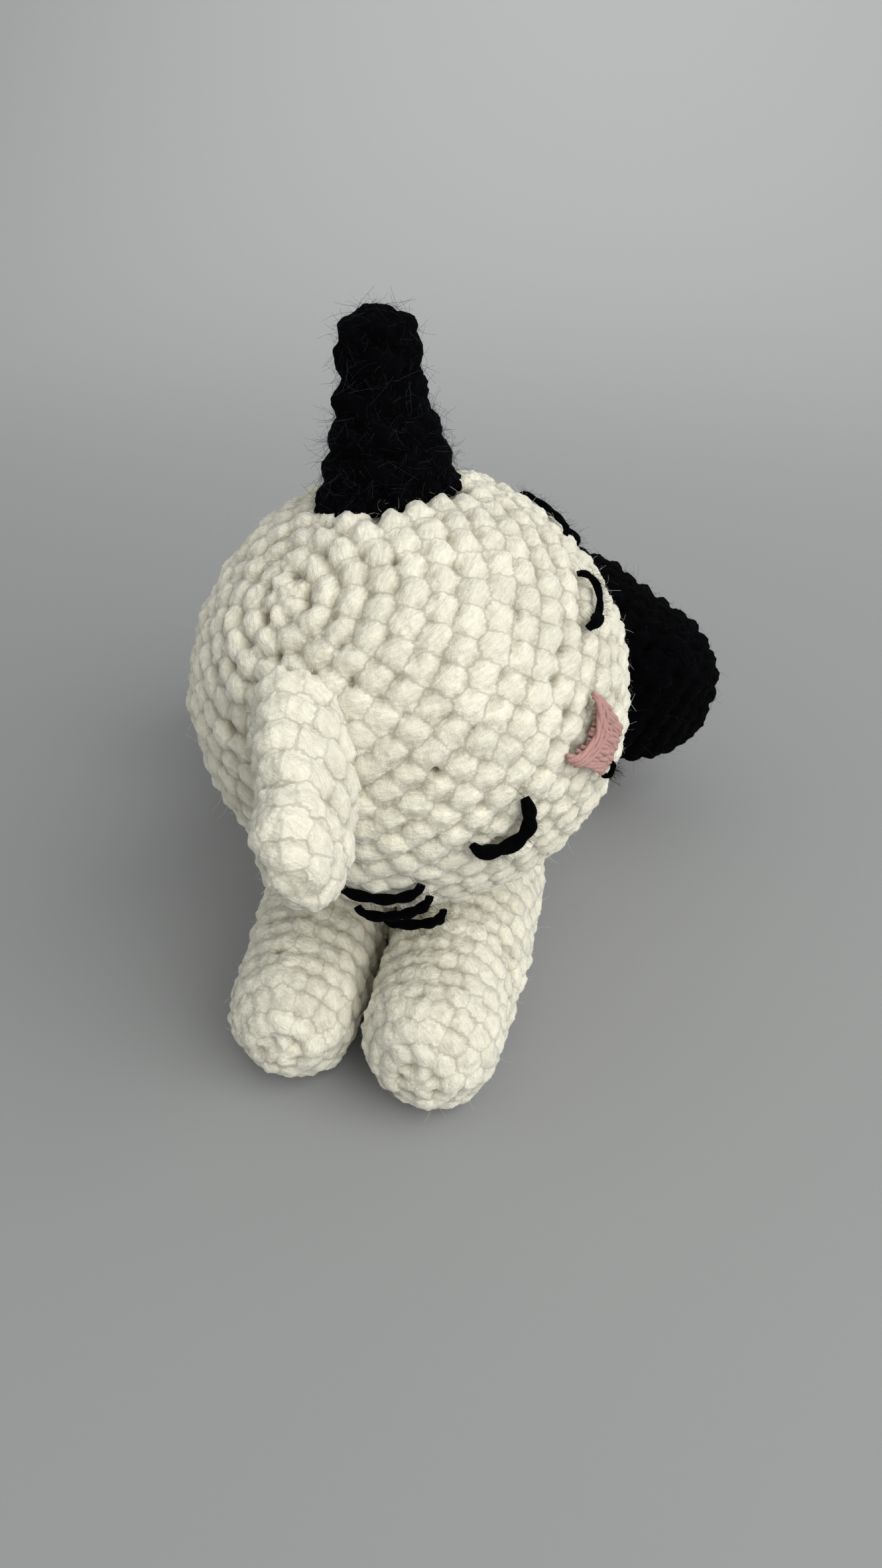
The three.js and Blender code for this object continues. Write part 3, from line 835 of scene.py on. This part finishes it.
EAR_FEET = {name: foot_line(form, outside_head) for name, form in EAR_FORMS.items()}


def under_black_ear(p):
    """Whether the foot of the black ear covers a place on the head."""
    line, centre = EAR_FEET["ear_left"]
    off = p - centre
    rim = max(line, key=lambda q: (q - centre).normalized().dot(off)) - centre
    return off.length < rim.length - EAR_COVERS


# %% Head
HEAD_HAIRS = (6000, 0.7 * MM, 3 * MM, 0.05)
head = crochet("head_crochet", head_form, cream_yarn, under_black_ear, HEAD_HAIRS)
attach(head, "head")
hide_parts("head_cover", "head_stuffing")

# %% [markdown]
# ## The body
#
# The body is an egg behind the head, closed at its rear and open at the neck, where the head covers it.
# It is worked like the head. When the head lifts, the neck stretches, so the body's front bends along:
# each point between the two ends of the blend moves with both bodies, in shares.

# %% Body
BODY_HAIRS = (2500, 0.7 * MM, 3 * MM, 0.05)
NECK_ROOM, NECK_REACH = 0.3 * MM, 24 * MM


def under_head(p):
    return outside_head(p) < NECK_ROOM


body = crochet("body_crochet", body_form, cream_yarn, under_head, BODY_HAIRS)
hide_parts("body_cover", "body_stuffing")
neck_way = (HEAD_CENTRE - BODY_MIDDLE).normalized()
rim = BODY_MIDDLE + neck_way * NECK_REACH
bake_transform(body, "body", "head", start=rim - neck_way * (9 * MM), end=rim)

# %% [markdown]
# ## Legs and tail
#
# The limbs are stuffed tubes with round tips. The front paws are worked in tighter, flatter stitches.
# A limb's rows run on some way into the body that it is sewn to, so that a leg that swings out still
# shows stitches and not its lining. Near the seam each limb is blended between the body and itself, as
# the soft cloth there bends while its far end swings.

# %% Legs and tail
ROOT_DEPTH, ROOT_STEP, ROOT_TURN = 2.5 * MM, 0.5 * MM, 0.7
ROOT_PLACES = 9
LIMB_INSIDE, LOOK_AHEAD = 11 * MM, 8 * MM
CREAM_HAIRS = (1600, 0.7 * MM, 3 * MM, 0.05)
# The last number of each hair set is how much paler its hairs may be painted; on the black pieces it is
# painted sheen.
BLACK_HAIRS = (5000, 0.6 * MM, 4 * MM, 34)
TAIL_HAIRS = (1500, 0.7 * MM, 4 * MM, 34)
PAW_LOOK = {"width": 3.7 * MM, "height": 3.6 * MM, "thick": 2.25 * MM, "rubbed": 2, "dip": 0.25 * MM}


def root_of(form, outside, depth=ROOT_DEPTH):
    """Length down a limb's outline at which its whole ring is inside what it is sewn to."""
    s = form.reached[-1]
    while s > 0 and all(outside(form.point(s, t * ROOT_TURN)) < -depth for t in range(ROOT_PLACES)):
        s -= ROOT_STEP
    return min(s + ROOT_STEP, form.reached[-1])


def node_points(name):
    return [v.co.copy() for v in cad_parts[name].data.vertices]


def deep_in_body(p):
    return outside_body(p) < -LIMB_INSIDE


def sew_limb(name, finish, hairs_of, look=STUFFED_LOOK):
    """Crochets a limb, and lets it bend from the body it is sewn to."""
    form = LIMB_FORMS[name]
    last = root_of(form, outside_body)
    piece = crochet(f"{name}_crochet", form, finish, deep_in_body, hairs_of, look, last)
    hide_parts(f"{name}_cover", f"{name}_stuffing")
    seam = middle_of(node_points(f"{name}_seam"))
    along = form.at(last)[0]
    ahead = (form.path(along + LOOK_AHEAD)[0] - form.path(along)[0]).normalized()
    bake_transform(piece, "body", name, start=seam - ahead * (3 * MM), end=seam + ahead * (13 * MM))


sew_limb("front_leg_left", cream_yarn, CREAM_HAIRS, PAW_LOOK)
sew_limb("front_leg_right", cream_yarn, CREAM_HAIRS, PAW_LOOK)
sew_limb("hind_leg_left", black_yarn, BLACK_HAIRS)
sew_limb("hind_leg_right", cream_yarn, CREAM_HAIRS)
sew_limb("tail", black_yarn, TAIL_HAIRS)

# %% [markdown]
# ## Ears
#
# The ears are flat pockets without stuffing: the black one stands, the cream one droops towards the
# viewer. They are limbs with a flattened section, worked in larger stitches. The black ear has the
# fuzziest yarn, so it gets the most and the longest hairs for its size.

# %% Ears
EAR_DEPTH, EAR_INSIDE, EAR_AHEAD = 1.5 * MM, 5 * MM, 20 * MM
EAR_LOOK = {"width": 4.3 * MM, "height": 4.2 * MM, "rubbed": 2, "dip": 0.35 * MM}
# The black ear's hairs are painted paler too, as painted sheen.
EAR_LEFT_HAIRS = (5500, 0.7 * MM, 5 * MM, 34)
EAR_RIGHT_HAIRS = (1200, 0.7 * MM, 3 * MM, 0.05)


def deep_in_head(p):
    return outside_head(p) < -EAR_INSIDE


for name, finish, slot, thick, hairs_of in (
    ("ear_left", black_yarn, "black_yarn", 3.4 * MM, EAR_LEFT_HAIRS),
    ("ear_right", cream_yarn, "cream_yarn", 2.4 * MM, EAR_RIGHT_HAIRS),
):
    form = EAR_FORMS[name]
    last = root_of(form, outside_head, EAR_DEPTH)
    look = {**EAR_LOOK, "thick": thick}
    piece = crochet(f"{name}_crochet", form, finish, deep_in_head, hairs_of, look, last)
    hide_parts(name)
    seam = middle_of(node_points(f"{name}_seam"))
    ahead = (form.path(EAR_AHEAD)[0] - form.path(0)[0]).normalized()
    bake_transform(piece, "head", name, start=seam - ahead * (3 * MM), end=seam + ahead * (9 * MM))

# %% [markdown]
# ## Seams
#
# Each piece is sewn on with whip stitches: short slanting bars of yarn that go over the crease. A limb's
# or an ear's crease is the line at which its form goes into the next one. At the neck the CAD ring lies
# in the crease, so its points, sorted round the ring, give the line. One bar is a small sphere drawn out
# into a bean, which is plumper than a straight cylinder and sinks at both its ends.

# %% Whip stitches
BEAN_SAG = 0.8
BAR_STEP, BAR_THICK, BAR_DEPTH, FEWEST_BARS = 2.6 * MM, 1.7 * MM, 0.6 * MM, 8
BAR_SLANTS, BAR_LENGTHS, BAR_TONES = (0.3, 0.6), (2.2, 2.9), (-0.05, 0.04)
TUCK = 0.5 * MM
bean = bmesh.new()
yarn_layers(bean)
bmesh.ops.create_uvsphere(bean, u_segments=8, v_segments=6, radius=0.5, calc_uvs=True)
for v in bean.verts:
    v.co = Vector((v.co.x, v.co.z, v.co.y - BEAN_SAG * v.co.z**2))
bmesh.ops.recalc_face_normals(bean, faces=bean.faces)
shade_smooth(bean.faces)


def ring_line(node):
    """Points down the middle of a ring of yarn, in order, and their middle, from its CAD node."""
    points = node_points(node)
    centre = middle_of(points)
    a = max((p - centre for p in points), key=lambda d: d.length).normalized()
    b = max((p - centre for p in points), key=lambda d: (d - a * d.dot(a)).length)
    b = (b - a * b.dot(a)).normalized()
    groups = [[] for _ in range(FOOT_PLACES)]
    for p in points:
        d = p - centre
        part = math.atan2(d.dot(b), d.dot(a)) / (2 * math.pi) + 0.5
        groups[int(part * FOOT_PLACES) % FOOT_PLACES].append(p)
    return [middle_of(g) for g in groups if g], centre


def whip_seam(name, finish, body_name, outward, ring, tuck=TUCK):
    """Slanting bars along a crease, tucked towards its middle."""
    line, centre = ring
    bm = bmesh.new()
    yarn_layers(bm)
    n = len(line)
    total = sum((line[i] - line[i - 1]).length for i in range(n))
    bars = max(FEWEST_BARS, round(total / BAR_STEP))
    for k in range(bars):
        place = k / bars * n
        i = int(place)
        after = line[(i + 1) % n]
        p = line[i].lerp(after, place - i)
        ahead = (after - line[i]).normalized()
        out = outward(p)
        out = (out - ahead * out.dot(ahead)).normalized()
        slant = (out.cross(ahead) + ahead * rng.uniform(*BAR_SLANTS)).normalized()
        matrix = axes_matrix(
            p - out * BAR_DEPTH + (centre - p).normalized() * tuck,
            out.cross(slant).normalized() * BAR_THICK,
            slant * (rng.uniform(*BAR_LENGTHS) * MM),
            out * BAR_THICK,
        )
        place_copy(bm, bean, matrix, rng.uniform(*BAR_TONES))
    piece = link(f"{name}_stitches", bm, finish)
    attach(piece, body_name)
    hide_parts(name)
    print(name, bars, "bars")


# %% Seams of the limbs, the ears and the neck
def from_body(p):
    return (p - Vector((0, p.y, BODY_MIDDLE.z))).normalized()


def from_head(p):
    return (p - HEAD_CENTRE).normalized()


for name, finish, slot in (
    ("front_leg_left", cream_yarn, "cream_yarn"),
    ("front_leg_right", cream_yarn, "cream_yarn"),
    ("hind_leg_left", black_yarn, "black_yarn"),
    ("hind_leg_right", cream_yarn, "cream_yarn"),
    ("tail", black_yarn, "black_yarn"),
):
    foot = foot_line(LIMB_FORMS[name], outside_body)
    whip_seam(f"{name}_seam", finish, "body", from_body, foot)
for name, finish, slot, tuck in (
    ("ear_left", black_yarn, "black_yarn", 0.9 * MM),
    ("ear_right", cream_yarn, "cream_yarn", 2.2 * MM),
):
    whip_seam(f"{name}_seam", finish, "head", from_head, EAR_FEET[name], tuck)
whip_seam("neck_seam", cream_yarn, "head", from_head, ring_line("neck_seam"))

# %% [markdown]
# ## Strands for the face
#
# The closed eyes, the whiskers and the mouth are single strands of yarn laid on the head, and so is each
# stitch of the nose. A plain round tube would look like wire. A strand here is two thin tubes twisted
# about each other. It follows a smooth line through a few places on the head, given in degrees, and goes
# into the head at both its ends, as a sewn strand does.

# %% Strands of yarn
STRAND_STEP, STRAND_SIDES, FEWEST_STEPS = 0.5 * MM, 7, 6
PLIES, PLY_OFF, PLY_RADIUS, END_LENGTH = 2, 0.15, 0.37, 1.2
END_DEPTH, END_PART = 0.9 * MM, 6


def strand(bm, places, thick, pitch=7 * MM, taper=0.7):
    """Twisted yarn along a line of points on the head."""
    lengths = [0.0]
    for a, b in zip(places, places[1:]):
        lengths.append(lengths[-1] + (b - a).length)
    whole, final = lengths[-1], len(places) - 1
    count = max(FEWEST_STEPS, round(whole / STRAND_STEP))
    first = rng.uniform(*ANY_TURN)

    def ring_matrix(s, ply):
        i = min(max(next((k for k, x in enumerate(lengths) if x >= s), final), 1), final)
        part = (s - lengths[i - 1]) / (lengths[i] - lengths[i - 1])
        p = places[i - 1].lerp(places[i], part)
        ahead = (places[i] - places[i - 1]).normalized()
        side = ahead.cross(from_head(p)).normalized()
        out = side.cross(ahead)
        end = min(s, whole - s) / (END_LENGTH * thick)
        full = thick * (taper + (1 - taper) * min(1, end))
        turn = first + 2 * math.pi * (s / pitch + ply / PLIES)
        off = (side * math.cos(turn) + out * math.sin(turn)) * (PLY_OFF * full)
        radius = PLY_RADIUS * full
        return axes_matrix(p + off, side * radius, out * radius, ahead * radius)

    for ply in range(PLIES):
        matrices = [ring_matrix(whole * i / count, ply) for i in range(count + 1)]
        shade_smooth(tube(bm, STRAND_SIDES, matrices))


def through(places, steps=8):
    """A smooth line through places on the head, in degrees as they are."""
    line = []
    for i in range(len(places) - 1):
        p = [places[max(i + k, 0)] if i + k < len(places) else places[-1] for k in (-1, 0, 1, 2)]
        for t in range(steps):
            u = t / steps
            line.append([
                b + ((c - a) * u + (2 * a - 5 * b + 4 * c - d) * u**2 + (3 * b - a - 3 * c + d) * u**3) / 2
                for a, b, c, d in zip(*p)
            ])
    line.append(list(places[-1]))
    return line


def laid(places, outside):
    """The same line as points that lie a little outside the head, and sink into it at both ends."""
    line = through(places)
    last = len(line) - 1
    sinks = [END_DEPTH * max(0, 1 - END_PART * min(i, last - i) / last) ** 2 for i in range(last + 1)]
    return [on_head(left, up, outside - sink) for (left, up), sink in zip(line, sinks)]


# %% [markdown]
# ## Eyes, whiskers and mouth
#
# The cat sleeps, so an eye is one black strand that hangs between two places. The left one is thin and
# ends in a small knot, a second, thicker strand over its end. The right cheek's whiskers are slack and
# stand off the head. Short hairs along each strand make it yarn and not wire.

# %% Eyes, whiskers and mouth
EYES = {
    "left": [(36.5, 15.7), (35.5, 11.9), (33.4, 10.6), (28.1, 11.3), (22, 14.6)],
    "right": [(-38.8, 13.6), (-37, 10.2), (-31.4, 6.6), (-26.4, 7.8), (-22, 13.6)],
}
WHISKERS = {
    "left": [
        [(53, 9.5), (64, 6.5), (75, 8)],
        [(58, -3), (67, -5), (77, -3)],
        [(61, -12), (70, -14), (79, -12)],
    ],
    "right": [
        [(-56.4, 9), (-61.3, 7.7), (-66.5, 7.9), (-71.3, 10.4), (-77, 14)],
        [(-57, 4.3), (-62, 1.5), (-68, -1), (-75, -3), (-81, -1)],
        [(-58.5, -4.5), (-64, -9), (-68, -10), (-72, -9.5), (-77, -8)],
    ],
}
MOUTH = [(-3, -9.5), (-5, -10.4), (-6.8, -9.8)]
OFF_HEAD = {"left": [-0.1, -0.1, -0.1], "right": [0.6, 1.3, 2.0]}
KNOT_LIFT = 0.4 * MM
EYE_THICK = {"left": 1.05 * MM, "right": 2.1 * MM}
WHISKER_THICK = {"left": 1.0 * MM, "right": 1.6 * MM}
KNOT_THICK = {"left": 1.9 * MM, "right": None}
MOUTH_THICK, ON_HEAD = 0.95 * MM, 0.6 * MM
FUZZ_AT_POINT, FUZZ_WIDTH, FUZZ_LEAN = 9, 2.4 * MM, 1.4
FUZZ_SHORTEST, FUZZ_LONGER = 1.0 * MM, 1.6 * MM


def embroider(name, places, thick, outside=ON_HEAD, knot=None):
    """A black strand through places on the head, with a knot at its end where one is given."""
    bm = bmesh.new()
    yarn_layers(bm)
    line = laid(places, outside)
    strand(bm, line, thick)
    if knot:
        (a, b), (c, d) = places[-2:]
        strand(bm, laid([((a + c) / 2, (b + d) / 2), (c, d)], outside + KNOT_LIFT), knot)
    for p in [rng.choice(line) for _ in range(FUZZ_AT_POINT * len(line))]:
        lean = (from_head(p) + Vector([rng.uniform(-FUZZ_LEAN, FUZZ_LEAN) for _ in range(3)])).normalized()
        side = lean.orthogonal().normalized() * FUZZ_WIDTH
        size = FUZZ_SHORTEST + FUZZ_LONGER * rng.random() ** 3
        matrix = axes_matrix(p, side, lean.cross(side), lean * size)
        place_copy(bm, rng.choice(hairs), matrix, 0.0)
    piece = link(f"{name}_yarn", bm, black_yarn)
    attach(piece, "head")
    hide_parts(name)
    print(name, len(piece.data.polygons), "faces")


for word in ("left", "right"):
    embroider(f"eye_{word}", EYES[word], EYE_THICK[word], knot=KNOT_THICK[word])
    for i, places in enumerate(WHISKERS[word]):
        embroider(f"whisker_{word}_{i + 1}", places, WHISKER_THICK[word], OFF_HEAD[word][i] * MM)
embroider("mouth", MOUTH, MOUTH_THICK)

# %% [markdown]
# ## The nose
#
# The nose is satin stitch: pink strands side by side, wide at the top and narrow at the foot, with three
# more across the top. One shaped face with a striped finish would look printed on, so each strand is its
# own. They are laid as the eyes are, and each place is a little off, as by hand.

# %% Nose, in degrees on the head
HALF_TOP, HALF_MIDDLE, HALF_FOOT = 7.6, 6.4, 5.0
NOSE_AT, NOSE_STRANDS, CROSS_STRANDS = -1, 13, 3
TOP_UP, TOP_RISE, MIDDLE_RISE, FOOT_UP, FOOT_RISE = 5.2, 4.0, 0.6, -8.0, 1.4
HALF_CROSS, CROSS_UP, CROSS_APART, CROSS_SAG = HALF_TOP + 0.8, 8.6, 1.6, 3.2
CROSS_RIGHT_RISE, CROSS_LEFT_RISE = 0.6, 1.6
SLACK, NOSE_OFF, NOSE_OFF_SLACK, NOSE_THICK, NOSE_TAPER = 0.5, 0.6, 0.3, (0.85, 1.15), 0.8
CROSS_OFF, CROSS_THICK = 0.85 * MM, 0.85 * MM
NOSE_PITCH, CROSS_PITCH = 5 * MM, 6 * MM
bm = bmesh.new()
yarn_layers(bm)


def slack():
    return rng.uniform(-SLACK, SLACK)


for k in range(NOSE_STRANDS):
    side = 2 * k / (NOSE_STRANDS - 1) - 1
    top = (HALF_TOP * side + NOSE_AT + slack(), TOP_UP + TOP_RISE * side * side + slack())
    middle = (HALF_MIDDLE * side + NOSE_AT + slack(), MIDDLE_RISE * abs(side))
    foot = (HALF_FOOT * side + NOSE_AT + slack(), FOOT_UP + FOOT_RISE * abs(side) + slack())
    line = laid([top, middle, foot], (NOSE_OFF + NOSE_OFF_SLACK * slack()) * MM)
    strand(bm, line, rng.uniform(*NOSE_THICK) * MM, NOSE_PITCH, NOSE_TAPER)
for k in range(CROSS_STRANDS):
    up = CROSS_UP - CROSS_APART * k
    right = (NOSE_AT - HALF_CROSS, up + CROSS_RIGHT_RISE + slack())
    left = (NOSE_AT + HALF_CROSS, up + CROSS_LEFT_RISE + slack())
    line = laid([right, (NOSE_AT, up - CROSS_SAG), left], CROSS_OFF)
    strand(bm, line, CROSS_THICK, CROSS_PITCH, NOSE_TAPER)
nose = link("nose_yarn", bm, pink_yarn)
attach(nose, "head")
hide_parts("nose")
print("nose", len(nose.data.polygons), "faces")

# %% [markdown]
# ## Last update
#
# At the end the view layer is brought up to date.

# %% Update the view layer
bpy.context.view_layer.update()
